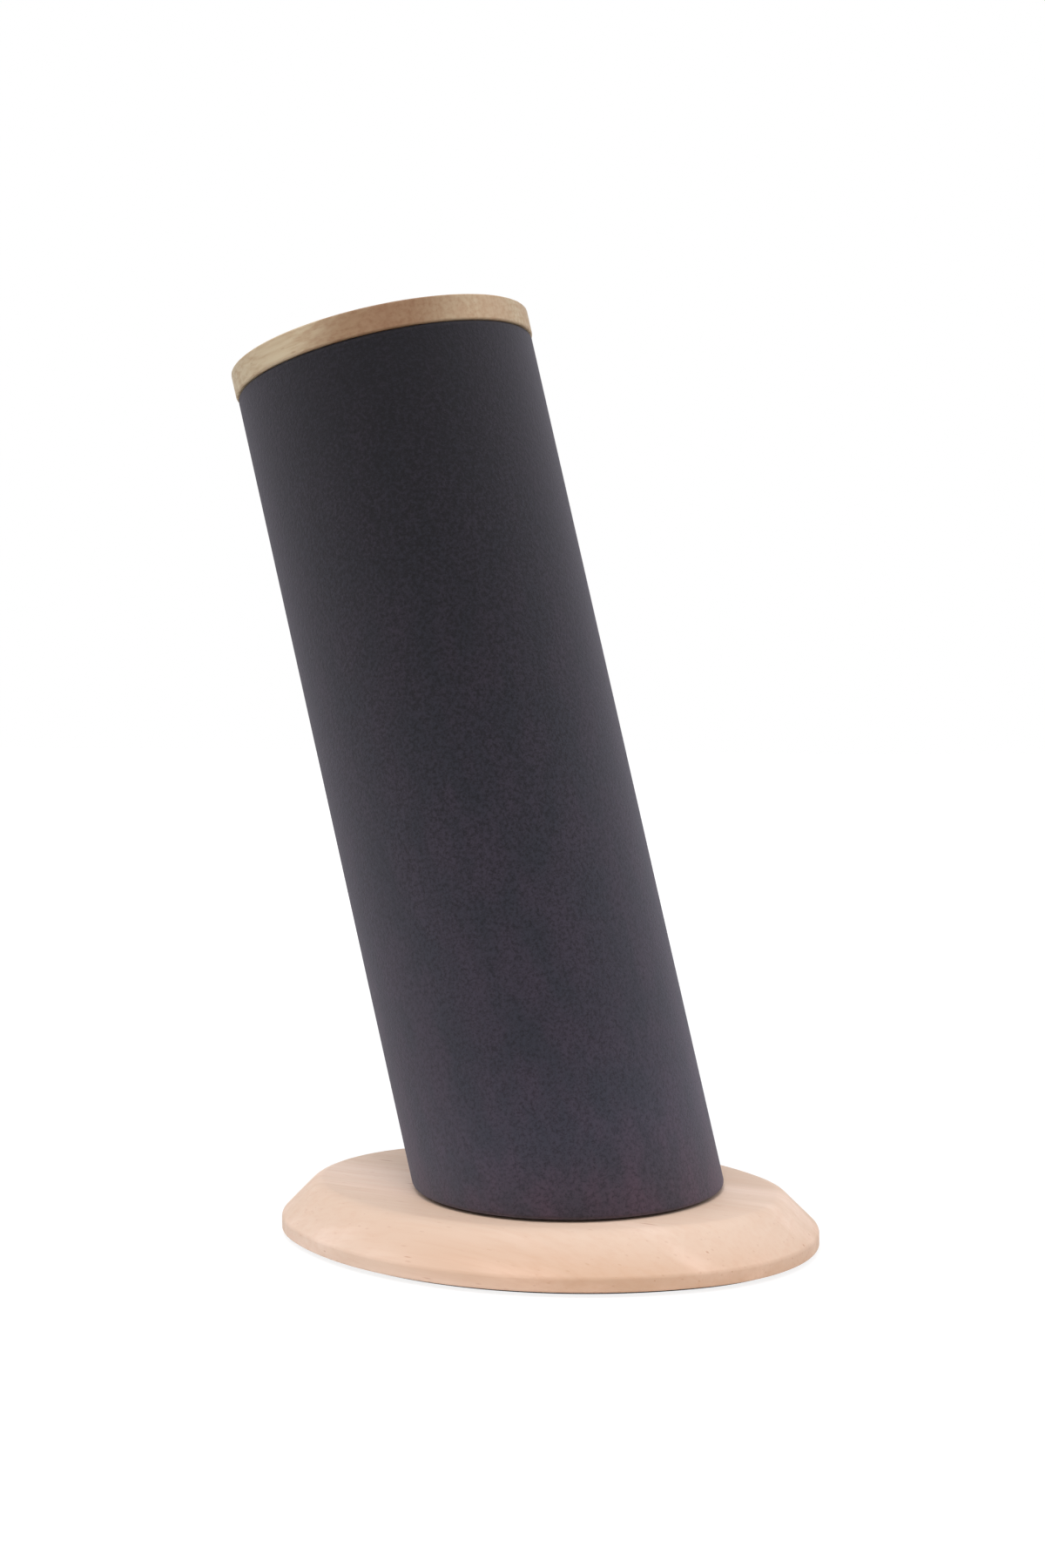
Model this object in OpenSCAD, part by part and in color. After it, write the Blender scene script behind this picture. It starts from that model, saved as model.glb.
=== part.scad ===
// Leaning display column on a bevelled oval base, in millimetres.
// The origin is the middle of the base, on the surface that it stands on. +Z is up, and +X runs along
// the oval, away from the lean. The stand is symmetric about the XZ plane.

/* [Base] */
// Length of the oval board, along X
base_len = 182; // [160:1:220]
// Width of the oval board, along Y
base_w = 140; // [126:1:170]
// Thickness of the board
base_h = 16; // [14:0.5:22]
// Radius of the oval's two ends, which blend into its longer sides
base_end_r = 57; // [48:1:62]
// Height of the upright rim below the bevel
rim_h = 4.5; // [2:0.5:8]
// Width of the bevel, seen from above, the same all round
bevel_w = 11.5; // [6:0.5:12]
// How far the sanding takes the board's sharp edges back
base_ease = 0.5; // [0.2:0.1:1.5]
// How far the softer edge between the bevel and the flat top is taken back
brow_ease = 2.6; // [0.5:0.1:4]
// Thickness of the felt pad under the board
pad_h = 1.5; // [1:0.5:3]
// How far the felt pad's outline stays inside the board's
pad_inset = 4; // [2:0.5:12]

/* [Column] */
// Diameter over the fabric
column_d = 100; // [84:1:108]
// Length along the axis, from the board's top to the underside of the cap
column_len = 277.5; // [200:0.5:340]
// Lean of the axis from upright, towards -X, in degrees
lean = 13.3; // [6:0.1:18]
// Distance of the foot's middle from the board's middle, towards +X
foot_shift = 8.5; // [0:0.5:16]
// Thickness of the suede
fabric_t = 1; // [0.6:0.1:1.6]
// Width of the fabric turned in over the ends of the tube
hem_w = 12; // [8:0.5:15]
// How far the suede's fold under the cap takes its corner back
fold_ease = 1.2; // [0.5:0.1:3]
// Width of the butted seam, down the side that the column leans to
seam_w = 0.4; // [0.3:0.1:0.8]
// Wall of the tube
tube_wall = 4; // [3:0.5:6]

/* [Cap] */
// Thickness of the cap
cap_h = 8.2; // [6:0.1:14]
// How far the cap stands out past the fabric
cap_overhang = 0.5; // [0:0.1:3]
// How far the sanding takes the cap's sharp edges back
cap_ease = 0.5; // [0.2:0.1:1.5]

/* [Plugs] */
// Height of the foot plug at the column's axis
foot_plug_h = 38; // [32:1:60]
// Thickness of the top plug
top_plug_h = 18; // [15:1:30]
// Chamfer round the end of each plug that goes into the tube first
plug_chamfer = 1; // [0.5:0.1:2]

/* [Fasteners] */
// Diameter of the base screws
screw_d = 4; // [3.5:0.5:5]
// Length of the base screws, over the head
screw_len = 30; // [24:1:34]
// Diameter of the base screws' countersunk head
screw_head_d = 8; // [7:0.5:9]
// Radius of the circle that the base screws stand on
screw_circle_r = 28; // [20:1:32]
// Diameter of the counterbores under the board
counterbore_d = 10; // [9.5:0.5:13]
// Depth of the counterbores under the board
counterbore_h = 4; // [2:0.5:6]
// Diameter of the cap's dowels
dowel_d = 6; // [5:0.5:8]
// Length of the cap's dowels
dowel_len = 15; // [12:0.5:18]
// How deep the dowels reach into the cap
dowel_in_cap = 5; // [3:0.5:5.5]
// Distance of each dowel from the axis
dowel_offset = 22; // [14:1:30]
// Diameter of the brads
brad_d = 1.4; // [1:0.1:2]
// Length of the brads
brad_len = 16; // [12:1:18]
// Diameter of the brads' heads
brad_head_d = 2.8; // [2.4:0.1:3.6]

/* [Hidden] */
$fn = 160;

screw_count = 3;
brad_count = 4;
// Flats that each sanded edge is made of
board_steps = 2;
brow_steps = 4;
cap_steps = 4;
fold_steps = 4;
// Glue grooves along each dowel
flute_count = 12;
// Points on each of the oval's four arcs
arc_steps = 30;
// Film of glue between pieces that fit one in the other
glue = 0.05;
// Clearance round a fastener in its hole
hole_gap = 0.1;
// Space left at the blind end of a hole
end_gap = 0.5;
// How far every cutting shape runs past the face that it cuts
overrun = 1;
// How far the pad's punched holes are wider than the counterbores
punch_gap = 1;

base_top = pad_h + base_h;
// The oval is four tangent arcs, so that the bevel and the pad's edge run parallel to it
half_len = base_len / 2;
half_w = base_w / 2;
base_side_r = (pow(half_len, 2) - 2 * half_len * base_end_r + pow(half_w, 2)) / (2 * (half_w - base_end_r));
end_centre = half_len - base_end_r;
side_centre = base_side_r - half_w;
blend_angle = atan2(side_centre, end_centre);

column_r = column_d / 2;
tube_r = column_r - fabric_t - glue;
bore_r = tube_r - tube_wall;
plug_r = bore_r - glue;
hem_r = column_r - hem_w;
cap_r = column_r + cap_overhang;
tube_top = column_len - fabric_t;
// How far the column's solids start below the foot, before the board's plane cuts them
below = column_d * tan(lean);
// A size that reaches past the whole stand
beyond = base_len + column_len;

screw_head_h = (screw_head_d - screw_d) / 2;
screw_bottom = pad_h + counterbore_h;
screw_tip_h = screw_d;
recess_w = screw_head_d / 7;
recess_len = screw_head_d * 0.55;
recess_h = screw_head_h * 0.7;
dowel_chamfer = dowel_d / 8;
flute_w = dowel_d / 8;
brad_head_h = brad_head_d / 4;
brad_tip_h = brad_d * 1.5;
lower_brad_h = foot_plug_h - brad_len / 2;
upper_brad_h = tube_top - top_plug_h / 2;

// One corner of a profile, taken back by reach on both sides and rounded between in some steps
function eased(before, corner, after, reach, steps) =
    let (from = corner + reach * (before - corner) / norm(before - corner),
         to = corner + reach * (after - corner) / norm(after - corner))
    [for (i = [0 : steps])
        let (t = i / steps) pow(1 - t, 2) * from + 2 * t * (1 - t) * corner + pow(t, 2) * to];

// Places n copies evenly round the Z axis
module around(n, start = 0) {
    for (i = [0 : n - 1])
        rotate(start + i * 360 / n)
            children();
}

// Points along an arc, without its last, which the next arc of the outline starts with
function arc(centre, r, from, to) =
    [for (i = [0 : arc_steps - 1])
        let (a = from + (to - from) * i / arc_steps) centre + r * [cos(a), sin(a)]];

// The oval's outline, anticlockwise, drawn parallel to itself at a distance in from the board's edge
function oval(inset) = concat(
    arc([end_centre, 0], base_end_r - inset, -blend_angle, blend_angle),
    arc([0, -side_centre], base_side_r - inset, blend_angle, 180 - blend_angle),
    arc([-end_centre, 0], base_end_r - inset, 180 - blend_angle, 180 + blend_angle),
    arc([0, side_centre], base_side_r - inset, 180 + blend_angle, 360 - blend_angle));

// A closed skin over parallel ovals. edge lists [distance in from the outline, height], from the bottom up
module oval_solid(edge) {
    n = 4 * arc_steps;
    last = len(edge) - 1;
    polyhedron(
        points = [for (p = edge) for (q = oval(p.x)) [q.x, q.y, p.y]],
        faces = concat(
            [[for (i = [0 : n - 1]) i]],
            [for (k = [0 : last - 1]) for (i = [0 : n - 1])
                let (j = (i + 1) % n) [k * n + i, (k + 1) * n + i, (k + 1) * n + j, k * n + j]],
            [[for (i = [n - 1 : -1 : 0]) last * n + i]]));
}

// Puts its children on the leaning axis, with their zero at the board's top
module on_column() {
    translate([foot_shift, 0, base_top])
        rotate([0, -lean, 0])
            children();
}

// Cuts leaning pieces off level, lift above the board's top
module footed(lift) {
    intersection() {
        on_column()
            children();
        translate([-beyond, -beyond, base_top + lift])
            cube([2 * beyond, 2 * beyond, beyond]);
    }
}

// A cylinder along the column's axis that starts below the foot and ends at top
module shaft(r, top) {
    translate([0, 0, -below])
        cylinder(r = r, h = top + below);
}

// A turned solid along the column's axis that starts below the foot, with an eased edge at its top
module eased_shaft(r, top, reach, steps) {
    low = [r, -below];
    corner = [r, top];
    axis_top = [0, top];
    rotate_extrude()
        polygon(concat([[0, -below], low], eased(low, corner, axis_top, reach, steps), [axis_top]));
}

module at_screws() {
    translate([foot_shift, 0, 0])
        around(screw_count)
            translate([screw_circle_r, 0, 0])
                children();
}

// A countersunk wood screw, head down, with its point up and gap added all round
module screw(gap) {
    head_r = screw_head_d / 2 + gap;
    shank_r = screw_d / 2 + gap;
    rotate_extrude()
        polygon([[0, 0], [head_r, 0], [shank_r, screw_head_h], [shank_r, screw_len - screw_tip_h],
            [0, screw_len + gap]]);
}

// The cross that the screwdriver turns, in the screw's head
module cross_recess() {
    translate([-recess_len / 2, -recess_w / 2, -overrun])
        cube([recess_len, recess_w, recess_h + overrun]);
    translate([-recess_w / 2, -recess_len / 2, -overrun])
        cube([recess_w, recess_len, recess_h + overrun]);
}

// A headed brad at height h, driven in towards the axis, with gap added all round
module brad(h, gap) {
    translate([tube_r - glue, 0, h])
        rotate([0, -90, 0])
            rotate_extrude()
                polygon([[0, -gap], [brad_head_d / 2 + gap, -gap], [brad_head_d / 2 + gap, brad_head_h],
                    [brad_d / 2 + gap, brad_head_h], [brad_d / 2 + gap, brad_len - brad_tip_h],
                    [0, brad_len + gap]]);
}

module brads(h, gap) {
    around(brad_count, start = 180 / brad_count)
        brad(h, gap);
}

module at_dowels() {
    for (side = [-1, 1])
        translate([0, side * dowel_offset, column_len + dowel_in_cap - dowel_len])
            children();
}

// The hole for a dowel, with room at both of its blind ends
module dowel_hole() {
    translate([0, 0, -end_gap])
        cylinder(d = dowel_d + 2 * hole_gap, h = dowel_len + 2 * end_gap);
}

module base_pad() {
    color([0.16, 0.16, 0.17])
        difference() {
            linear_extrude(pad_h)
                polygon(oval(pad_inset));
            at_screws()
                translate([0, 0, -overrun])
                    cylinder(d = counterbore_d + 2 * punch_gap, h = pad_h + 2 * overrun);
        }
}

module base_plate() {
    foot = [0, pad_h];
    rim = [0, pad_h + rim_h];
    brow = [bevel_w, base_top];
    inside = [half_w, pad_h];
    above = [half_w, base_top];
    color([0.88, 0.76, 0.67])
        difference() {
            oval_solid(concat(eased(inside, foot, rim, base_ease, board_steps),
                eased(foot, rim, brow, base_ease, board_steps),
                eased(rim, brow, above, brow_ease, brow_steps)));
            at_screws() {
                translate([0, 0, pad_h - overrun])
                    cylinder(d = counterbore_d, h = counterbore_h + overrun);
                translate([0, 0, screw_bottom])
                    cylinder(r1 = screw_head_d / 2 + hole_gap, r2 = screw_d / 2 + hole_gap, h = screw_head_h);
                translate([0, 0, screw_bottom])
                    cylinder(r = screw_d / 2 + hole_gap, h = base_h + overrun);
            }
        }
}

module base_screws() {
    color([0.72, 0.72, 0.74])
        at_screws()
            translate([0, 0, screw_bottom])
                difference() {
                    screw(0);
                    cross_recess();
                }
}

module foot_plug() {
    color([0.76, 0.65, 0.52])
        difference() {
            footed(fabric_t)
                eased_shaft(plug_r, foot_plug_h, plug_chamfer, 1);
            at_screws()
                translate([0, 0, screw_bottom])
                    screw(hole_gap);
            on_column()
                brads(lower_brad_h, hole_gap);
        }
}

module lower_brads() {
    color([0.7, 0.7, 0.72])
        on_column()
            brads(lower_brad_h, 0);
}

module column_tube() {
    color([0.66, 0.54, 0.4])
        difference() {
            footed(fabric_t)
                difference() {
                    shaft(tube_r, tube_top);
                    shaft(bore_r, tube_top + overrun);
                }
            on_column() {
                brads(lower_brad_h, hole_gap);
                brads(upper_brad_h, hole_gap);
            }
        }
}

module fabric_wrap() {
    color([0.2, 0.2, 0.21])
        difference() {
            footed(0)
                eased_shaft(column_r, column_len, fold_ease, fold_steps);
            footed(fabric_t)
                shaft(column_r - fabric_t, tube_top);
            on_column() {
                shaft(hem_r, column_len + overrun);
                translate([-column_r - overrun, -seam_w / 2, -below])
                    cube([column_r, seam_w, column_len + below + overrun]);
            }
        }
}

module top_plug() {
    color([0.76, 0.65, 0.52])
        on_column()
            difference() {
                translate([0, 0, tube_top - top_plug_h]) {
                    cylinder(r1 = plug_r - plug_chamfer, r2 = plug_r, h = plug_chamfer);
                    translate([0, 0, plug_chamfer])
                        cylinder(r = plug_r, h = top_plug_h - plug_chamfer);
                }
                at_dowels()
                    dowel_hole();
                brads(upper_brad_h, hole_gap);
            }
}

module upper_brads() {
    color([0.7, 0.7, 0.72])
        on_column()
            brads(upper_brad_h, 0);
}

module cap_dowels() {
    r = dowel_d / 2;
    color([0.8, 0.68, 0.5])
        on_column()
            at_dowels()
                difference() {
                    rotate_extrude()
                        polygon([[0, 0], [r - dowel_chamfer, 0], [r, dowel_chamfer],
                            [r, dowel_len - dowel_chamfer], [r - dowel_chamfer, dowel_len], [0, dowel_len]]);
                    around(flute_count)
                        translate([r, 0, -overrun])
                            cylinder(d = flute_w, h = dowel_len + 2 * overrun);
                }
}

module top_cap() {
    axis_low = [0, column_len];
    low = [cap_r, column_len];
    high = [cap_r, column_len + cap_h];
    axis_high = [0, column_len + cap_h];
    color([0.73, 0.63, 0.51])
        on_column()
            difference() {
                rotate_extrude()
                    polygon(concat([axis_low], eased(axis_low, low, high, cap_ease, cap_steps),
                        eased(low, high, axis_high, cap_ease, cap_steps), [axis_high]));
                at_dowels()
                    dowel_hole();
            }
}

base_pad();
base_plate();
base_screws();
foot_plug();
lower_brads();
column_tube();
fabric_wrap();
top_plug();
upper_brads();
cap_dowels();
top_cap();
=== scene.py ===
import math
import bpy
from mathutils import Matrix, Vector


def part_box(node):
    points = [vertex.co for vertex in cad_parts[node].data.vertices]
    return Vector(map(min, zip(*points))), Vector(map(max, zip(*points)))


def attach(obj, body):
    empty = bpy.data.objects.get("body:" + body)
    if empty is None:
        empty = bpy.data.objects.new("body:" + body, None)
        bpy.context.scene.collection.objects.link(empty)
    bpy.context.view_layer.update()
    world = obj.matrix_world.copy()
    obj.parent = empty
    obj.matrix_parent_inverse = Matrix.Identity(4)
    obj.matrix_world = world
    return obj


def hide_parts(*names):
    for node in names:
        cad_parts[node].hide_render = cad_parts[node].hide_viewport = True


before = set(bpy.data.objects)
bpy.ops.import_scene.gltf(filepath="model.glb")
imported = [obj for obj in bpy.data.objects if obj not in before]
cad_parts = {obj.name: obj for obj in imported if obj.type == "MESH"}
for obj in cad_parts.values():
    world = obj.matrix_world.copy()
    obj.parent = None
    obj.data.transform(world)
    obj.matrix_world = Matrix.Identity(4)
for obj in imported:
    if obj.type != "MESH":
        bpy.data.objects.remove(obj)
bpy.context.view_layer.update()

# Places shared by the pieces, in metres
# The board stands on its felt, and the column leans towards -X
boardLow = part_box("base_plate")[0].z
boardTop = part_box("base_plate")[1].z
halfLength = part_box("base_plate")[1].x
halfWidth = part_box("base_plate")[1].y
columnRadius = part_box("fabric_wrap")[1].y
lean = math.radians(13.3)
columnLength = 0.2775
columnFoot = Vector((0.0085, 0, boardTop))
columnUp = Vector((-math.sin(lean), 0, math.cos(lean)))
columnOut = Vector((math.cos(lean), 0, math.sin(lean)))
columnTurn = Matrix.Rotation(-lean, 3, "Y")


def columnPoint(out, up, turn=0.0):
    # A point at a distance out from the column's axis and a height up along it
    around = math.cos(turn) * columnOut + math.sin(turn) * Vector((0, 1, 0))
    return columnFoot + out * around + up * columnUp


def srgb(red, green, blue):
    # Screen values from 0 to 255, turned into linear light
    def linear(value):
        share = value / 255
        return share / 12.92 if share <= 0.04045 else ((share + 0.055) / 1.055) ** 2.4
    return (linear(red), linear(green), linear(blue), 1)


# Modelling helpers

sameSpot = 1e-6
mergeGap = 1e-5
seedSize = 0.002
sharpAngle = math.radians(32)
normalWeight = 80


def deselectAll():
    if bpy.context.mode != "OBJECT":
        bpy.ops.object.mode_set(mode="OBJECT")
    bpy.ops.object.select_all(action="DESELECT")


def makeActive(piece):
    deselectAll()
    piece.select_set(True)
    bpy.context.view_layer.objects.active = piece


def editMode(piece, mode="VERT"):
    makeActive(piece)
    bpy.ops.object.mode_set(mode="EDIT")
    bpy.ops.mesh.select_mode(type=mode)


def selectByPlace(piece, test, mode="VERT"):
    # Selects the vertices that pass the test, or the edges with both ends passing it
    editMode(piece, mode)
    bpy.ops.mesh.select_all(action="DESELECT")
    bpy.ops.object.mode_set(mode="OBJECT")
    points = piece.data.vertices
    if mode == "VERT":
        for point in points:
            point.select = test(point.co)
    else:
        for edge in piece.data.edges:
            edge.select = all(test(points[i].co) for i in edge.vertices)
    bpy.ops.object.mode_set(mode="EDIT")


def drawProfile(name, points):
    # A plane merged to one vertex, which is then extruded from point to point
    deselectAll()
    bpy.ops.mesh.primitive_plane_add(size=seedSize, location=points[0])
    piece = bpy.context.object
    piece.name = name
    piece.data.name = name
    bpy.ops.object.transform_apply(location=True, rotation=True, scale=True)
    editMode(piece)
    bpy.ops.mesh.select_all(action="SELECT")
    bpy.ops.mesh.merge(type="CENTER")
    for here, there in zip(points, points[1:]):
        step = Vector(there) - Vector(here)
        bpy.ops.mesh.extrude_vertices_move(TRANSFORM_OT_translate={"value": step})
    bpy.ops.object.mode_set(mode="OBJECT")
    return piece


def roundCorner(piece, corner, radius, segments):
    selectByPlace(piece, lambda place: (place - Vector(corner)).length < sameSpot)
    bpy.ops.mesh.bevel(affect="VERTICES", offset=radius, segments=segments)
    bpy.ops.object.mode_set(mode="OBJECT")


def closeSkin(piece):
    editMode(piece)
    bpy.ops.mesh.select_all(action="SELECT")
    bpy.ops.mesh.remove_doubles(threshold=mergeGap)
    bpy.ops.mesh.select_all(action="SELECT")
    bpy.ops.mesh.fill_holes(sides=0)
    bpy.ops.mesh.select_all(action="SELECT")
    bpy.ops.mesh.normals_make_consistent(inside=False)
    bpy.ops.object.mode_set(mode="OBJECT")


def lathe(piece, centre, axis, steps):
    editMode(piece)
    bpy.ops.mesh.select_all(action="SELECT")
    bpy.ops.mesh.spin(steps=steps, angle=2 * math.pi, center=centre, axis=axis)
    bpy.ops.object.mode_set(mode="OBJECT")
    closeSkin(piece)


def applyModifier(piece, kind, **settings):
    makeActive(piece)
    modifier = piece.modifiers.new(kind.lower(), kind)
    for key, value in settings.items():
        setattr(modifier, key, value)
    bpy.ops.object.modifier_apply(modifier=modifier.name)


def cutAway(piece, cutter):
    applyModifier(piece, "BOOLEAN", operation="DIFFERENCE", solver="EXACT", object=cutter)
    bpy.data.objects.remove(cutter)


def finishPiece(piece, material, slotName, *nodes):
    makeActive(piece)
    bpy.ops.object.transform_apply(location=True, rotation=True, scale=True)
    bpy.ops.object.shade_smooth_by_angle(angle=sharpAngle)
    applyModifier(piece, "WEIGHTED_NORMAL", keep_sharp=True, weight=normalWeight)
    piece.data.materials.clear()
    piece.data.materials.append(material)
    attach(piece, "root")
    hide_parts(*nodes)


# Material helpers

# Nearly all values of a noise texture lie between these two
noiseSpread = (0.3, 0.7)


def newMaterial(name):
    material = bpy.data.materials.new(name)
    material.use_nodes = True
    tree = material.node_tree
    return material, tree, tree.nodes["Principled BSDF"]


def addNode(tree, kind, inputs=None, **settings):
    node = tree.nodes.new("ShaderNode" + kind)
    for key, value in settings.items():
        setattr(node, key, value)
    for key, value in (inputs or {}).items():
        if isinstance(value, bpy.types.NodeSocket):
            tree.links.new(value, node.inputs[key])
        else:
            node.inputs[key].default_value = value
    return node


def addMath(tree, operation, first, second=0.0):
    return addNode(tree, "Math", {0: first, 1: second}, operation=operation).outputs[0]


def mixColours(tree, factor, first, second, blend="MIX"):
    # The colour sockets of this node are inputs 6 and 7 and output 2
    inputs = {0: factor, 6: first, 7: second}
    return addNode(tree, "Mix", inputs, data_type="RGBA", blend_type=blend).outputs[2]


def addNoise(tree, coordinates, scale, detail=2.0, roughness=0.5):
    inputs = {"Vector": coordinates, "Scale": scale, "Detail": detail, "Roughness": roughness}
    return addNode(tree, "TexNoise", inputs).outputs[0]


def mapRange(tree, value, low, high, toLow=0.0, toHigh=1.0):
    inputs = {"Value": value, "From Min": low, "From Max": high, "To Min": toLow, "To Max": toHigh}
    return addNode(tree, "MapRange", inputs, interpolation_type="SMOOTHSTEP").outputs[0]


def objectCoordinates(tree, place=(0, 0, 0), turn=(0, 0, 0)):
    # Coordinates measured from a place on the piece and along its own direction
    source = addNode(tree, "TexCoord").outputs["Object"]
    inputs = {"Vector": source, "Location": place, "Rotation": turn}
    return addNode(tree, "Mapping", inputs, vector_type="TEXTURE").outputs[0]


def stretched(tree, coordinates, scale, shift=(0, 0, 0)):
    # Coordinates scaled along each direction, then shifted to another part of the pattern
    inputs = {"Vector": coordinates, "Scale": scale, "Location": shift}
    return addNode(tree, "Mapping", inputs).outputs[0]


def addBump(tree, shader, height, distance, strength):
    bump = addNode(tree, "Bump", {"Height": height, "Distance": distance, "Strength": strength})
    tree.links.new(bump.outputs[0], shader.inputs["Normal"])


def addFlecks(tree, grain, look):
    # Short marks along the grain: some cells of a stretched Voronoi pattern hold one soft dash each
    marks = {"Vector": stretched(tree, grain, look["cells"]), "Scale": 1.0, "Randomness": 0.9}
    cell = addNode(tree, "TexVoronoi", marks, feature="F1")
    pick = addNode(tree, "SeparateColor", {0: cell.outputs["Color"]})
    # Cells up to the missing share stay empty, and three tenths of the others fade in
    fullFrom = 0.7 * look["missing"] + 0.3
    chosen = mapRange(tree, pick.outputs[0], look["missing"], fullFrom)
    size = mapRange(tree, pick.outputs[1], 0.0, 1.0, look["size"] / 2, look["size"])
    dash = mapRange(tree, addMath(tree, "DIVIDE", cell.outputs["Distance"], size), 1.0, 0.3)
    return addMath(tree, "MULTIPLY", dash, chosen)


# What all the woods have in common. Four numbers are a range of values in, then one of values out
everyWood = {
    "wanderCells": (0.25, 1, 1),
    "ringDarkens": (0.1, 0.9),
    "ringEnds": (1.0, 0.9),
    "patchCells": (8, 45, 45),
    "patchRange": (0.3, 0.65, 0.25, 1.0),
    "fibreCells": (22, 650, 650),
    "fibreRange": (0.4, 0.72),
    "endFade": 0.008,
    "endCells": (25, 800, 50),
    "endRange": (0.42, 0.66, 0.5, 1.0),
    "roughness": (0.52, 0.66),
    "specular": 0.35,
}


def makeWood(name, look):
    # Growth rings lie round a pith line that runs along the grain, which is local X
    material, tree, shader = newMaterial(name)
    grain = objectCoordinates(tree, look["pith"], look["turn"])
    wander = addNoise(tree, stretched(tree, grain, everyWood["wanderCells"]), look["wanderScale"])
    parts = addNode(tree, "SeparateXYZ", {0: grain})
    across = addMath(tree, "POWER", parts.outputs[1], 2.0)
    upward = addMath(tree, "POWER", parts.outputs[2], 2.0)
    radius = addMath(tree, "SQRT", addMath(tree, "ADD", across, upward))
    offset = addMath(tree, "MULTIPLY", addMath(tree, "SUBTRACT", wander, 0.5), look["wander"])
    radius = addMath(tree, "ADD", radius, offset)
    year = addMath(tree, "FRACT", addMath(tree, "DIVIDE", radius, look["ringSpacing"]))
    ring = addMath(tree, "MULTIPLY", mapRange(tree, year, *everyWood["ringDarkens"]),
                   mapRange(tree, year, *everyWood["ringEnds"]))
    patchy = addNoise(tree, stretched(tree, grain, everyWood["patchCells"]), 1.0, detail=1.0)
    ring = addMath(tree, "MULTIPLY", ring, mapRange(tree, patchy, *everyWood["patchRange"]))
    # The heart is a slanting layer that comes in and fades out, and deepens downwards
    through = objectCoordinates(tree, look["heartPlace"], look["heartTurn"])
    through = addNode(tree, "SeparateXYZ", {0: through}).outputs[0]
    through = addMath(tree, "ADD", through, offset)
    heart = mapRange(tree, through, *look["heartRise"])
    heart = addMath(tree, "MULTIPLY", heart, mapRange(tree, through, *look["heartFall"]))
    level = addNode(tree, "SeparateXYZ", {0: objectCoordinates(tree)}).outputs[2]
    heart = addMath(tree, "MULTIPLY", heart, mapRange(tree, level, *look["heartDepth"]))
    fibre = addNoise(tree, stretched(tree, grain, everyWood["fibreCells"]), 1.0, detail=4.0, roughness=0.62)
    broad = addNoise(tree, stretched(tree, grain, look["broadCells"], look["broadShift"]), 1.0)
    broadShare = mapRange(tree, broad, *look["broadRange"])
    colour = mixColours(tree, broadShare, look["pale"], look["warm"])
    ringShare = addMath(tree, "MULTIPLY", ring, look["ringShare"])
    colour = mixColours(tree, ringShare, colour, look["late"])
    fibreShare = mapRange(tree, fibre, *everyWood["fibreRange"])
    fibreShare = addMath(tree, "MULTIPLY", fibreShare, look["fibreShare"])
    colour = mixColours(tree, fibreShare, colour, look["late"])
    # End grain shows the rays as fine streaks across the thickness
    endGrain = mapRange(tree, parts.outputs[0], look["endGrain"], look["endGrain"] + everyWood["endFade"])
    endRays = addNoise(tree, stretched(tree, grain, everyWood["endCells"]), 1.0, detail=3.0, roughness=0.6)
    endShare = addMath(tree, "MULTIPLY", mapRange(tree, endRays, *everyWood["endRange"]), endGrain)
    endShare = addMath(tree, "MULTIPLY", endShare, look["endShare"])
    colour = mixColours(tree, endShare, colour, look["late"])
    heartShare = addMath(tree, "MULTIPLY", heart, look["heartShare"])
    colour = mixColours(tree, heartShare, colour, look["heart"], "MULTIPLY")
    rays = addMath(tree, "MULTIPLY", addFlecks(tree, grain, look["rays"]), look["rays"]["depth"])
    marks = addMath(tree, "MULTIPLY", addFlecks(tree, grain, look["marks"]), look["marks"]["depth"])
    dashes = addMath(tree, "MAXIMUM", rays, marks)
    colour = mixColours(tree, dashes, colour, look["fleck"])
    tree.links.new(colour, shader.inputs["Base Color"])
    tree.links.new(mapRange(tree, fibre, *noiseSpread, *everyWood["roughness"]), shader.inputs["Roughness"])
    shader.inputs["Specular IOR Level"].default_value = everyWood["specular"]
    height = addMath(tree, "SUBTRACT", fibre, dashes)
    addBump(tree, shader, height, distance=0.0001, strength=0.3)
    return material


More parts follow.
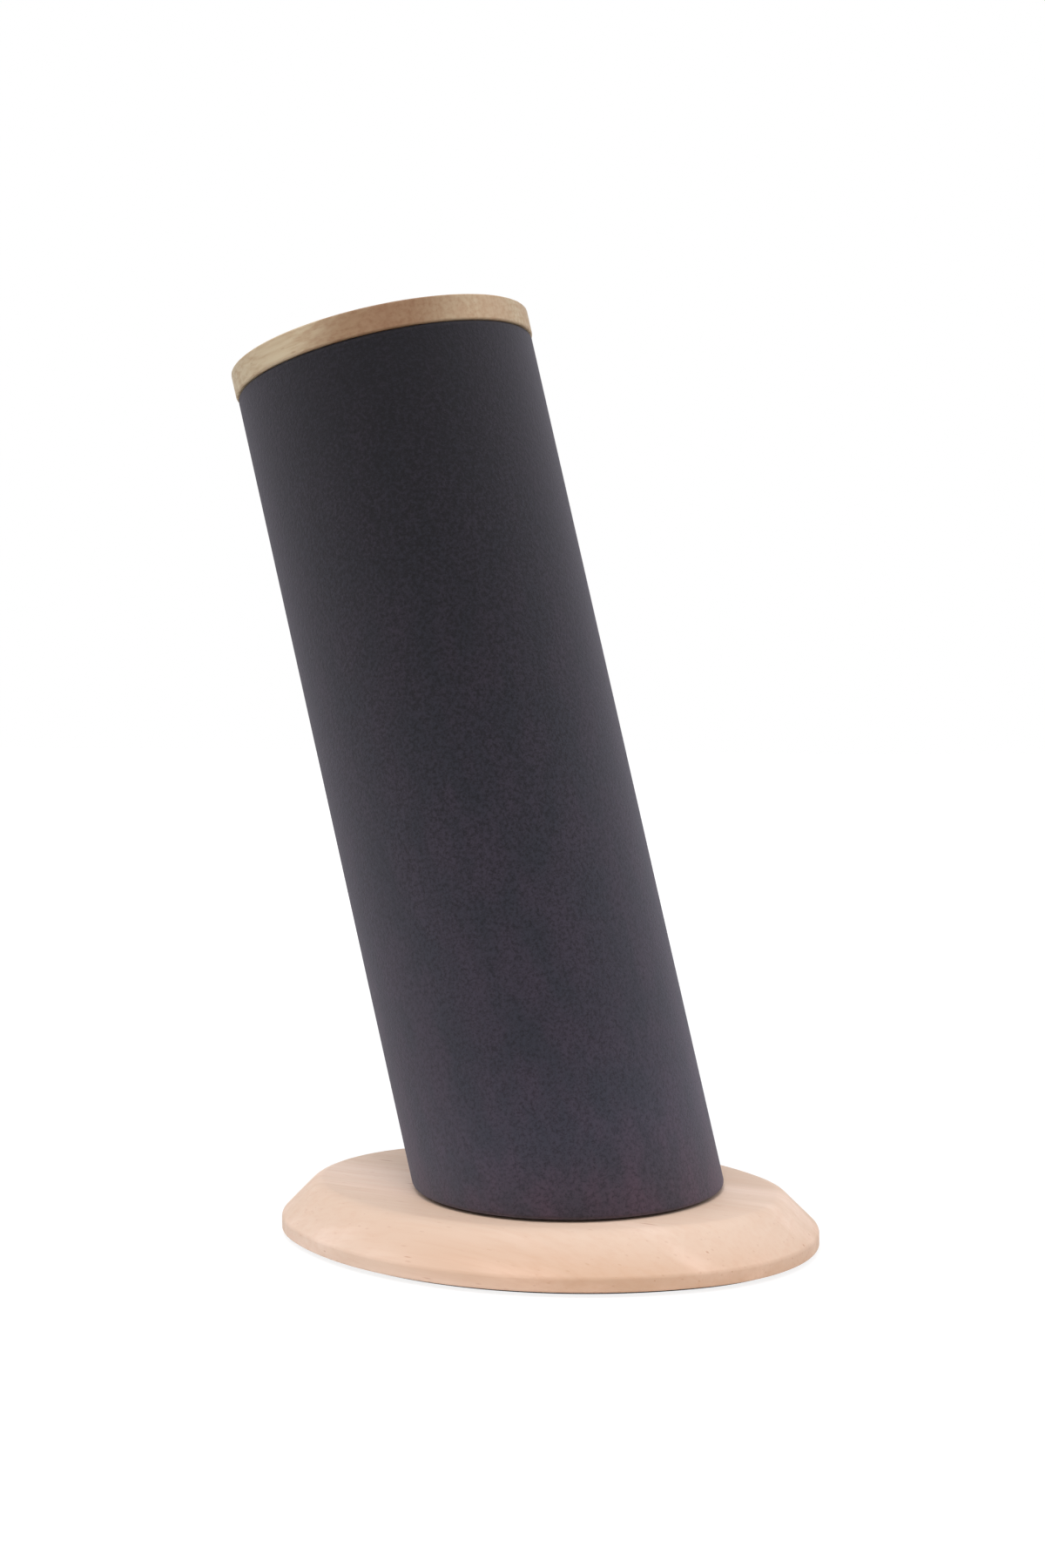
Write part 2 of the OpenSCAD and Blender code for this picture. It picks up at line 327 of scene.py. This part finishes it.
def makeSuede(name, look):
    # The nap is a fine speckle over soft brushed patches, keener towards the top. Its colour is painted
    # darker towards the top and lighter towards the foot: painted shade above, painted floor bounce light
    # below
    material, tree, shader = newMaterial(name)
    along = objectCoordinates(tree, columnFoot, (0, -lean, 0))
    height = addNode(tree, "SeparateXYZ", {0: along}).outputs[2]
    nap = addNoise(tree, along, look["napScale"], roughness=0.6)
    pile = addNoise(tree, along, look["pileScale"], roughness=0.7)
    brushed = stretched(tree, along, look["brushCells"])
    brushed = addNoise(tree, brushed, look["brushScale"], detail=3.0, roughness=0.55)
    napPart = addMath(tree, "MULTIPLY", nap, look["napShare"])
    pilePart = addMath(tree, "MULTIPLY", pile, look["pileShare"])
    speckle = addMath(tree, "ADD", napPart, pilePart)
    lift = mapRange(tree, speckle, *look["speckleRange"])
    keen = addMath(tree, "MULTIPLY", mapRange(tree, height, *look["footKeen"]),
                   mapRange(tree, height, *look["topKeen"]))
    # Painted shade and light: the colour strength runs from dark at the top to light at the foot, standing
    # in for the floor's bounce light
    paintedHeightShade = mapRange(tree, height, columnLength, 0.0, look["topTone"], look["footTone"])
    # Painted bounce light: the nap over the lowest six centimetres is lightened as if lit by the board
    paintedHeightShade = addMath(tree, "MULTIPLY", paintedHeightShade, mapRange(tree, height, *look["paintedFootBounce"]))
    shade = addMath(tree, "MULTIPLY", paintedHeightShade, addMath(tree, "POWER", lift, keen))
    grey = addNode(tree, "CombineColor", {0: shade, 1: shade, 2: shade}).outputs[0]
    tone = mixColours(tree, mapRange(tree, brushed, *look["brushRange"]), look["cool"], look["warm"])
    # Painted bounce light: a warm tint at the foot stands in for light reflected from the board
    low = mapRange(tree, height, *look["paintedBounceHeights"])
    tone = mixColours(tree, low, tone, look["paintedBoardBounce"], "MULTIPLY")
    colour = mixColours(tree, 1.0, tone, grey, "MULTIPLY")
    colour = mixColours(tree, 1.0, colour, look["nap"], "MULTIPLY")
    tree.links.new(colour, shader.inputs["Base Color"])
    tree.links.new(mapRange(tree, nap, *noiseSpread, *look["roughness"]), shader.inputs["Roughness"])
    shader.inputs["Specular IOR Level"].default_value = look["specular"]
    shader.inputs["Sheen Weight"].default_value = look["sheen"]
    shader.inputs["Sheen Roughness"].default_value = look["sheenRoughness"]
    shader.inputs["Sheen Tint"].default_value = look["sheenTint"]
    addBump(tree, shader, speckle, distance=0.0005, strength=0.5)
    return material


def makeFelt(name, look):
    material, tree, shader = newMaterial(name)
    flat = objectCoordinates(tree)
    fibres = addNoise(tree, flat, look["fibreScale"], detail=5.0, roughness=0.7)
    matted = addNoise(tree, flat, look["mattScale"], detail=3.0)
    colour = mixColours(tree, mapRange(tree, fibres, *noiseSpread), look["dark"], look["light"])
    dusty = addMath(tree, "MULTIPLY", matted, look["dustShare"])
    colour = mixColours(tree, dusty, colour, look["dust"])
    tree.links.new(colour, shader.inputs["Base Color"])
    tree.links.new(mapRange(tree, matted, *noiseSpread, *look["roughness"]), shader.inputs["Roughness"])
    shader.inputs["Specular IOR Level"].default_value = look["specular"]
    shader.inputs["Sheen Weight"].default_value = look["sheen"]
    addBump(tree, shader, fibres, distance=0.0004, strength=0.6)
    return material


def makeSteel(name, look):
    material, tree, shader = newMaterial(name)
    surface = objectCoordinates(tree)
    turned = addNoise(tree, stretched(tree, surface, look["turnedCells"]), 1.0)
    cloudy = addNoise(tree, surface, look["cloudScale"])
    colour = mixColours(tree, mapRange(tree, cloudy, *look["cloudRange"]), look["bright"], look["dull"])
    tree.links.new(colour, shader.inputs["Base Color"])
    shader.inputs["Metallic"].default_value = 1.0
    tree.links.new(mapRange(tree, turned, *noiseSpread, *look["roughness"]), shader.inputs["Roughness"])
    addBump(tree, shader, turned, distance=0.00002, strength=0.3)
    return material


def makePaperboard(name, look):
    # Spiral-wound kraft: each ply's butted edge climbs round the tube
    material, tree, shader = newMaterial(name)
    along = objectCoordinates(tree, columnFoot, (0, -lean, 0))
    parts = addNode(tree, "SeparateXYZ", {0: along})
    turned = addMath(tree, "ARCTAN2", parts.outputs[1], parts.outputs[0])
    climb = addMath(tree, "MULTIPLY", turned, look["plyWidth"] / (2 * math.pi))
    ply = addMath(tree, "ADD", parts.outputs[2], climb)
    share = addMath(tree, "FRACT", addMath(tree, "DIVIDE", ply, look["plyWidth"]))
    edge = mapRange(tree, share, look["edgeShare"], 0.0)
    fibres = stretched(tree, along, look["fibreCells"])
    fibres = addNoise(tree, fibres, 1.0, detail=4.0, roughness=0.65)
    colour = mixColours(tree, mapRange(tree, fibres, *noiseSpread), look["kraft"], look["fibre"])
    colour = mixColours(tree, edge, colour, look["edge"])
    tree.links.new(colour, shader.inputs["Base Color"])
    tree.links.new(mapRange(tree, fibres, *noiseSpread, *look["roughness"]), shader.inputs["Roughness"])
    height = addMath(tree, "SUBTRACT", addMath(tree, "MULTIPLY", fibres, look["fibreHeight"]), edge)
    addBump(tree, shader, height, distance=0.0002, strength=0.5)
    return material


# Camera, floor and light

camera = {
    "place": (0.26722, -0.6493, 0.18585),
    "turn": (87.0351, 0.5016, 22.8581),
    "lens": 49.283,
    "sensor": 36,
    "clip": (0.02, 40),
}
studio = {
    "floorSize": 8.0,
    "floorGap": 0.00005,
    "sheetRadius": 0.45,
    "sheetFade": 0.5,
    "sheetColour": (0.86, 0.82, 0.78, 1),
    "roomColour": (0.3, 0.3, 0.3, 1),
    # What the camera sees of the sheet: its shaded part, and a glow that brings it to white
    "shadedColour": (0.22, 0.22, 0.22, 1),
    "glow": 0.84,
    "ambient": 0.4,
    "ambientColour": (0.97, 0.98, 1.0, 1),
    "skyColour": (1, 1, 1, 1),
    "boxes": [
        # name, place, aim, size, power in watts, colour
        ("overhead", (-0.3, -0.43, 1.56), (0, 0, 0.12), 0.9, 5.0, (1.0, 0.99, 0.98)),
        ("front", (0.304, -0.74, 1.436), (0, 0, 0.12), 0.9, 10.6, (1.0, 0.985, 0.97)),
        ("left", (-0.98, -0.69, 1.18), (0, 0, 0.08), 0.9, 5.6, (0.94, 0.97, 1.0)),
        ("right", (1.05, 0.5, 0.75), (0, 0, 0.08), 0.9, 5.0, (0.93, 0.96, 1.0)),
    ],
}


def placeCamera():
    data = bpy.data.cameras.new("camera")
    data.lens = camera["lens"]
    data.sensor_width = camera["sensor"]
    data.clip_start, data.clip_end = camera["clip"]
    viewer = bpy.data.objects.new("camera", data)
    viewer.location = camera["place"]
    viewer.rotation_euler = [math.radians(angle) for angle in camera["turn"]]
    bpy.context.collection.objects.link(viewer)
    bpy.context.scene.camera = viewer


def seenDirectly(tree):
    path = addNode(tree, "LightPath")
    seen = addMath(tree, "MAXIMUM", path.outputs["Is Camera Ray"], path.outputs["Is Glossy Ray"])
    return addMath(tree, "MAXIMUM", seen, path.outputs["Is Transmission Ray"])


def makeFloor():
    deselectAll()
    bpy.ops.mesh.primitive_plane_add(size=studio["floorSize"], location=(0, 0, -studio["floorGap"]))
    floor = bpy.context.object
    floor.name = "floor"
    material = bpy.data.materials.new("whiteSweep")
    material.use_nodes = True
    tree = material.node_tree
    tree.nodes.clear()
    distance = addNode(tree, "VectorMath", {0: objectCoordinates(tree)}, operation="LENGTH")
    sheetEnd = studio["sheetRadius"] + studio["sheetFade"]
    away = mapRange(tree, distance.outputs["Value"], studio["sheetRadius"], sheetEnd)
    sheetColour = mixColours(tree, away, studio["sheetColour"], studio["roomColour"])
    lit = addNode(tree, "BsdfDiffuse", {"Color": sheetColour})
    shaded = addNode(tree, "BsdfDiffuse", {"Color": studio["shadedColour"]})
    glow = addNode(tree, "Emission", {"Strength": mapRange(tree, away, 0.0, 1.0, studio["glow"], 1.0)})
    shown = addNode(tree, "AddShader", {0: shaded.outputs[0], 1: glow.outputs[0]})
    both = addNode(tree, "MixShader", {0: seenDirectly(tree), 1: lit.outputs[0], 2: shown.outputs[0]})
    # Seen from below the floor is clear, and light reaches the felt through it
    rayLength = addNode(tree, "LightPath").outputs["Ray Length"]
    near = addMath(tree, "LESS_THAN", rayLength, 4 * studio["floorGap"])
    behind = addMath(tree, "MAXIMUM", addNode(tree, "NewGeometry").outputs["Backfacing"], near)
    clear = addNode(tree, "BsdfTransparent")
    both = addNode(tree, "MixShader", {0: behind, 1: both.outputs[0], 2: clear.outputs[0]})
    output = addNode(tree, "OutputMaterial")
    tree.links.new(both.outputs[0], output.inputs["Surface"])
    floor.data.materials.append(material)


def makeSky():
    world = bpy.data.worlds.new("whiteRoom")
    world.use_nodes = True
    tree = world.node_tree
    background = tree.nodes["Background"]
    seen = seenDirectly(tree)
    colour = mixColours(tree, seen, studio["ambientColour"], studio["skyColour"])
    strength = mapRange(tree, seen, 0.0, 1.0, studio["ambient"], 1.0)
    tree.links.new(colour, background.inputs["Color"])
    tree.links.new(strength, background.inputs["Strength"])
    bpy.context.scene.world = world


def hangSoftboxes():
    for name, place, aim, size, power, colour in studio["boxes"]:
        data = bpy.data.lights.new(name, "AREA")
        data.shape = "DISK"
        data.size = size
        data.energy = power
        data.color = colour
        lamp = bpy.data.objects.new(name, data)
        lamp.location = place
        lamp.rotation_euler = (Vector(aim) - Vector(place)).to_track_quat("-Z", "Y").to_euler()
        bpy.context.collection.objects.link(lamp)


placeCamera()
makeFloor()
makeSky()
hangSoftboxes()
bpy.context.scene.view_settings.view_transform = "Standard"
print("camera, floor and lights are placed")


# Oval outline shared by the board and its felt: four tangent arcs, the first spun in two halves

oval = {
    "endRadius": 0.057,
    "endSteps": 56,
    "sideSteps": 80,
}
sideRadius = ((halfLength ** 2 - 2 * halfLength * oval["endRadius"] + halfWidth ** 2)
              / (2 * (halfWidth - oval["endRadius"])))
endCentre = halfLength - oval["endRadius"]
sideCentre = sideRadius - halfWidth
blendAngle = math.atan2(sideCentre, endCentre)


def sweepOval(piece):
    # The profile starts at the +X end, and a positive spin goes clockwise seen from above
    halfSteps = oval["endSteps"] // 2
    endAngle = 2 * blendAngle
    sideAngle = math.pi - endAngle
    editMode(piece)
    bpy.ops.mesh.select_all(action="SELECT")
    for centre, angle, steps in (
            ((endCentre, 0, 0), blendAngle, halfSteps),
            ((0, sideCentre, 0), sideAngle, oval["sideSteps"]),
            ((-endCentre, 0, 0), endAngle, oval["endSteps"]),
            ((0, -sideCentre, 0), sideAngle, oval["sideSteps"]),
            ((endCentre, 0, 0), blendAngle, halfSteps)):
        bpy.ops.mesh.spin(steps=steps, angle=angle, center=centre, axis=(0, 0, 1))
    bpy.ops.object.mode_set(mode="OBJECT")
    closeSkin(piece)


# Board: rim, wide bevel and sanded edges, drilled from below for three screws

board = {
    "rimHeight": 0.0045,
    "bevelWidth": 0.0115,
    "lowRound": 0.0006,
    "rimRound": 0.0007,
    "browRound": 0.0026,
    "roundSegments": 5,
    "margin": 0.014,
    "screwCount": 3,
    "screwCircle": 0.028,
    "boreRadius": 0.005,
    "boreDepth": 0.004,
    "sinkRadius": 0.0041,
    "sinkDepth": 0.002,
    "holeRadius": 0.0021,
    "cutPast": 0.001,
    "cutSteps": 48,
}
boardWood = {
    "pith": (0, 0.035, -0.085),
    "turn": (0, math.radians(2.5), math.radians(-7)),
    "wanderScale": 16.0,
    "wander": 0.016,
    "ringSpacing": 0.0042,
    "ringShare": 0.12,
    "fibreShare": 0.22,
    "broadCells": (8, 55, 55),
    "broadShift": (30.9, 20.3, 22.5),
    "broadRange": (0.3, 0.55),
    "heartPlace": (0.0255, 0, 0.0115),
    "heartTurn": (0, math.radians(-74.9), 0),
    "heartRise": (-0.0255, 0.0),
    "heartFall": (0.0175, 0.001),
    "heartDepth": (0.021, 0.005),
    "heartShare": 0.8,
    "endGrain": 0.074,
    "endShare": 0.08,
    "rays": {"cells": (240, 1000, 1000), "missing": 0.82, "size": 0.42, "depth": 0.2},
    "marks": {"cells": (110, 900, 900), "missing": 0.984, "size": 0.5, "depth": 0.55},
    "pale": srgb(239, 213, 196),
    "warm": srgb(226, 199, 179),
    "late": srgb(217, 177, 152),
    "heart": (0.84, 0.7, 0.58, 1),
    "fleck": srgb(176, 112, 80),
}


def screwPlaces():
    for index in range(board["screwCount"]):
        turn = 2 * math.pi * index / board["screwCount"]
        x = columnFoot.x + board["screwCircle"] * math.cos(turn)
        y = board["screwCircle"] * math.sin(turn)
        yield x, y


def screwCutter(x, y):
    # From below: the bore for the head, the countersink and the screw's hole
    low = boardLow - board["cutPast"]
    sink = boardLow + board["boreDepth"]
    high = boardTop + board["cutPast"]
    steps = [
        (0, low),
        (board["boreRadius"], low),
        (board["boreRadius"], sink),
        (board["sinkRadius"], sink),
        (board["holeRadius"], sink + board["sinkDepth"]),
        (board["holeRadius"], high),
        (0, high),
    ]
    cutter = drawProfile("cutter", [(x + out, y, up) for out, up in steps])
    lathe(cutter, (x, y, 0), (0, 0, 1), board["cutSteps"])
    return cutter


def makeBoard():
    # The profile stops short of the middle, where the two flats are filled later
    inner = halfLength - board["margin"]
    foot = (halfLength, 0, boardLow)
    rim = (halfLength, 0, boardLow + board["rimHeight"])
    brow = (halfLength - board["bevelWidth"], 0, boardTop)
    top = (inner - board["bevelWidth"], 0, boardTop)
    piece = drawProfile("boardOval", [(inner, 0, boardLow), foot, rim, brow, top])
    roundCorner(piece, foot, board["lowRound"], board["roundSegments"])
    roundCorner(piece, rim, board["rimRound"], board["roundSegments"])
    roundCorner(piece, brow, board["browRound"], board["roundSegments"])
    sweepOval(piece)
    for x, y in screwPlaces():
        cutAway(piece, screwCutter(x, y))
    finishPiece(piece, makeWood("paleBeech", boardWood), "base_wood", "base_plate")


makeBoard()
print("board is made")


# Felt pad with three punched holes, glued under the board

felt = {
    "inset": 0.004,
    "lowRound": 0.0005,
    "lowSegments": 3,
    "highRound": 0.00025,
    "highSegments": 2,
    "punchRadius": 0.006,
    "punchSteps": 64,
    "facingDown": -0.99,
    "fibreScale": 2600.0,
    "mattScale": 260.0,
    "dark": srgb(38, 38, 41),
    "light": srgb(62, 62, 66),
    "dust": srgb(84, 82, 82),
    "dustShare": 0.3,
    "roughness": (0.9, 1.0),
    "specular": 0.1,
    "sheen": 0.4,
}


def makeFeltPad():
    edge = halfLength - felt["inset"]
    inner = edge - board["margin"]
    low = (edge, 0, 0)
    high = (edge, 0, boardLow)
    piece = drawProfile("feltPad", [(inner, 0, 0), low, high, (inner, 0, boardLow)])
    roundCorner(piece, low, felt["lowRound"], felt["lowSegments"])
    roundCorner(piece, high, felt["highRound"], felt["highSegments"])
    sweepOval(piece)
    for x, y in screwPlaces():
        deselectAll()
        bpy.ops.mesh.primitive_cylinder_add(
            vertices=felt["punchSteps"], radius=felt["punchRadius"], depth=4 * boardLow,
            location=(x, y, boardLow / 2))
        cutAway(piece, bpy.context.object)
    finishPiece(piece, makeFelt("greyFelt", felt), "felt", "base_pad")


makeFeltPad()
print("felt pad is made")


# Suede sleeve, stretched over the tube, turned in at both ends and butted down the leaning side

sleeve = {
    "cloth": 0.001,
    "hem": 0.012,
    "foldRound": 0.0016,
    "footLift": 0.0009,
    "foldSegments": 6,
    "seam": 0.0004,
    "steps": 192,
    "overlap": 0.03,
    "foldShare": 0.98,
}
suede = {
    "napScale": 900.0,
    "napShare": 0.6,
    "pileScale": 2400.0,
    "pileShare": 0.4,
    "speckleRange": (0.36, 0.64, 0.2, 2.1),
    "brushScale": 100.0,
    "brushCells": (1, 1, 0.5),
    "brushRange": (0.32, 0.68),
    # Heights along the column, then the values at them
    "footKeen": (0.02, 0.24, 0.36, 1.0),
    "topKeen": (0.17, 0.26, 1.0, 1.8),
    # Painted bounce light from the board, lightening the nap near the foot
    "paintedFootBounce": (0.06, 0.0, 1.0, 1.4),
    # Painted warm bounce light from the board at the foot, fading in over these heights
    "paintedBounceHeights": (0.025, -0.005),
    # Painted shade at the top and painted bounce light at the foot, as colour strengths along the column
    "topTone": 0.13,
    "footTone": 1.5,
    "nap": srgb(37, 35, 43),
    "cool": (0.78, 0.89, 0.9, 1),
    "warm": (1.17, 1.03, 1.1, 1),
    # Painted warm bounce light from the board, the tint used at the foot
    "paintedBoardBounce": (1.22, 0.93, 0.88, 1),
    "roughness": (0.86, 0.98),
    "specular": 0.05,
    "sheen": 0.24,
    "sheenRoughness": 0.65,
    "sheenTint": (0.91, 0.87, 1.0, 1),
}


def makeSleeve():
    seamTurn = math.pi + sleeve["seam"] / 2 / columnRadius
    hemRadius = columnRadius - sleeve["hem"]
    low = columnPoint(columnRadius, -sleeve["overlap"], seamTurn)
    fold = columnPoint(columnRadius, columnLength, seamTurn)
    hem = columnPoint(hemRadius, columnLength, seamTurn)
    piece = drawProfile("suedeSleeve", [low, fold, hem])
    roundCorner(piece, fold, sleeve["foldRound"], sleeve["foldSegments"])
    editMode(piece)
    bpy.ops.mesh.select_all(action="SELECT")
    spinAngle = 2 * math.pi - sleeve["seam"] / columnRadius
    bpy.ops.mesh.spin(steps=sleeve["steps"], angle=-spinAngle, center=columnFoot, axis=columnUp,
                      use_auto_merge=False)
    # The foot is cut level, its edge is turned in along the board, and the fold is rounded
    bpy.ops.mesh.select_all(action="SELECT")
    footHigh = boardTop + sleeve["footLift"]
    bpy.ops.mesh.bisect(plane_co=(0, 0, footHigh), plane_no=(0, 0, 1), clear_inner=True)
    selectByPlace(piece, lambda place: place.z < footHigh + sameSpot, "EDGE")
    share = hemRadius / columnRadius
    bpy.ops.mesh.extrude_region_move()
    bpy.ops.transform.resize(value=(share, share, 1), center_override=columnFoot)
    bpy.ops.transform.translate(value=(0, 0, -sleeve["footLift"]))

    def onFold(place):
        flat = place - columnFoot
        out = math.hypot(flat.x * math.cos(lean), flat.y)
        return place.z < footHigh + sameSpot and out > sleeve["foldShare"] * columnRadius
    selectByPlace(piece, onFold, "EDGE")
    bpy.ops.mesh.bevel(offset=sleeve["foldRound"], segments=sleeve["foldSegments"], affect="EDGES")
    bpy.ops.mesh.select_all(action="SELECT")
    bpy.ops.mesh.normals_make_consistent(inside=False)
    bpy.ops.object.mode_set(mode="OBJECT")
    applyModifier(piece, "SOLIDIFY", thickness=sleeve["cloth"], offset=-1, use_even_offset=True)
    finishPiece(piece, makeSuede("duskSuede", suede), "suede", "fabric_wrap")


makeSleeve()
print("suede sleeve is made")


# Cap: a turned disc with sanded edges, drilled below for its two dowels

cap = {
    "thickness": 0.0082,
    "overhang": 0.0005,
    "edgeRound": 0.0006,
    "segments": 4,
    "steps": 192,
    "dowelOffset": 0.022,
    "dowelHoleRadius": 0.0031,
    "dowelHoleDepth": 0.0055,
    "dowelHoleSteps": 48,
}
capWood = {
    "pith": columnPoint(0.02, columnLength - 0.05, math.radians(100)),
    "turn": (columnTurn @ Matrix.Rotation(math.radians(-16), 3, "Z")).to_euler(),
    "wanderScale": 30.0,
    "wander": 0.005,
    "ringSpacing": 0.0021,
    "ringShare": 0.2,
    "fibreShare": 0.58,
    "broadCells": (9, 70, 70),
    "broadShift": (27.3, 27.7, 9.2),
    "broadRange": (0.35, 0.65),
    # The heart runs nearly along the grain and slants up to the right across the cap's front
    # Its depth starts far above the cap, and so it is full all through
    "heartPlace": columnPoint(0, columnLength + cap["thickness"] / 2),
    "heartTurn": (columnTurn @ Matrix.Rotation(math.radians(56), 3, "Z")
                  @ Matrix.Rotation(math.radians(22), 3, "Y")).to_euler(),
    "heartRise": (-0.0432, -0.03),
    "heartFall": (0.009, -0.0162),
    "heartDepth": (1.0, 0.9),
    "heartShare": 1.0,
    "endGrain": 0.038,
    "endShare": 0.4,
    "rays": {"cells": (240, 900, 900), "missing": 0.8, "size": 0.42, "depth": 0.3},
    "marks": {"cells": (110, 900, 900), "missing": 0.98, "size": 0.5, "depth": 0.2},
    "pale": srgb(201, 184, 155),
    "warm": srgb(192, 167, 138),
    "late": srgb(170, 136, 106),
    "heart": (0.55, 0.42, 0.35, 1),
    "fleck": srgb(134, 92, 68),
}


def makeCap():
    radius = columnRadius + cap["overhang"]
    high = columnLength + cap["thickness"]
    low = columnPoint(radius, columnLength)
    brow = columnPoint(radius, high)
    piece = drawProfile("capDisc", [columnPoint(0, columnLength), low, brow, columnPoint(0, high)])
    roundCorner(piece, low, cap["edgeRound"], cap["segments"])
    roundCorner(piece, brow, cap["edgeRound"], cap["segments"])
    lathe(piece, columnFoot, columnUp, cap["steps"])
    for side in (-1, 1):
        deselectAll()
        bpy.ops.mesh.primitive_cylinder_add(
            vertices=cap["dowelHoleSteps"], radius=cap["dowelHoleRadius"], depth=2 * cap["dowelHoleDepth"],
            location=columnPoint(side * cap["dowelOffset"], columnLength, math.pi / 2),
            rotation=(0, -lean, 0))
        cutAway(piece, bpy.context.object)
    finishPiece(piece, makeWood("capBeech", capWood), "cap_wood", "top_cap")


makeCap()
print("cap is made")


# Pieces that keep their CAD shape and get their finish here

plugWood = dict(boardWood, turn=(0, math.pi / 2, 0), pith=(0.02, 0.03, 0), pale=srgb(216, 186, 148),
                warm=srgb(208, 176, 138), late=srgb(180, 140, 100))
dowelWood = dict(boardWood, turn=(0, math.pi / 2 - lean, 0), ringSpacing=0.0016, wander=0.001,
                 pale=srgb(224, 196, 156), warm=srgb(216, 184, 144))
steel = {
    "turnedCells": (600, 600, 6000),
    "cloudScale": 240.0,
    "cloudRange": (0.35, 0.65),
    "bright": srgb(200, 202, 206),
    "dull": srgb(168, 170, 172),
    "roughness": (0.28, 0.46),
}
kraft = {
    "plyWidth": 0.07,
    "edgeShare": 0.012,
    "fibreCells": (180, 180, 60),
    "fibreHeight": 0.2,
    "roughness": (0.75, 0.9),
    "kraft": srgb(176, 142, 104),
    "fibre": srgb(156, 122, 86),
    "edge": srgb(110, 82, 56),
}


def dressNode(nodeName, material):
    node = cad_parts[nodeName]
    for holder in node.material_slots:
        holder.material = material
    if not node.material_slots:
        node.data.materials.append(material)


zinc = makeSteel("zincSteel", steel)
pine = makeWood("turnedPine", plugWood)
dressNode("base_screws", zinc)
dressNode("lower_brads", zinc)
dressNode("upper_brads", zinc)
dressNode("foot_plug", pine)
dressNode("top_plug", pine)
dressNode("cap_dowels", makeWood("dowelBeech", dowelWood))
dressNode("column_tube", makePaperboard("woundKraft", kraft))
print("inner pieces are dressed")
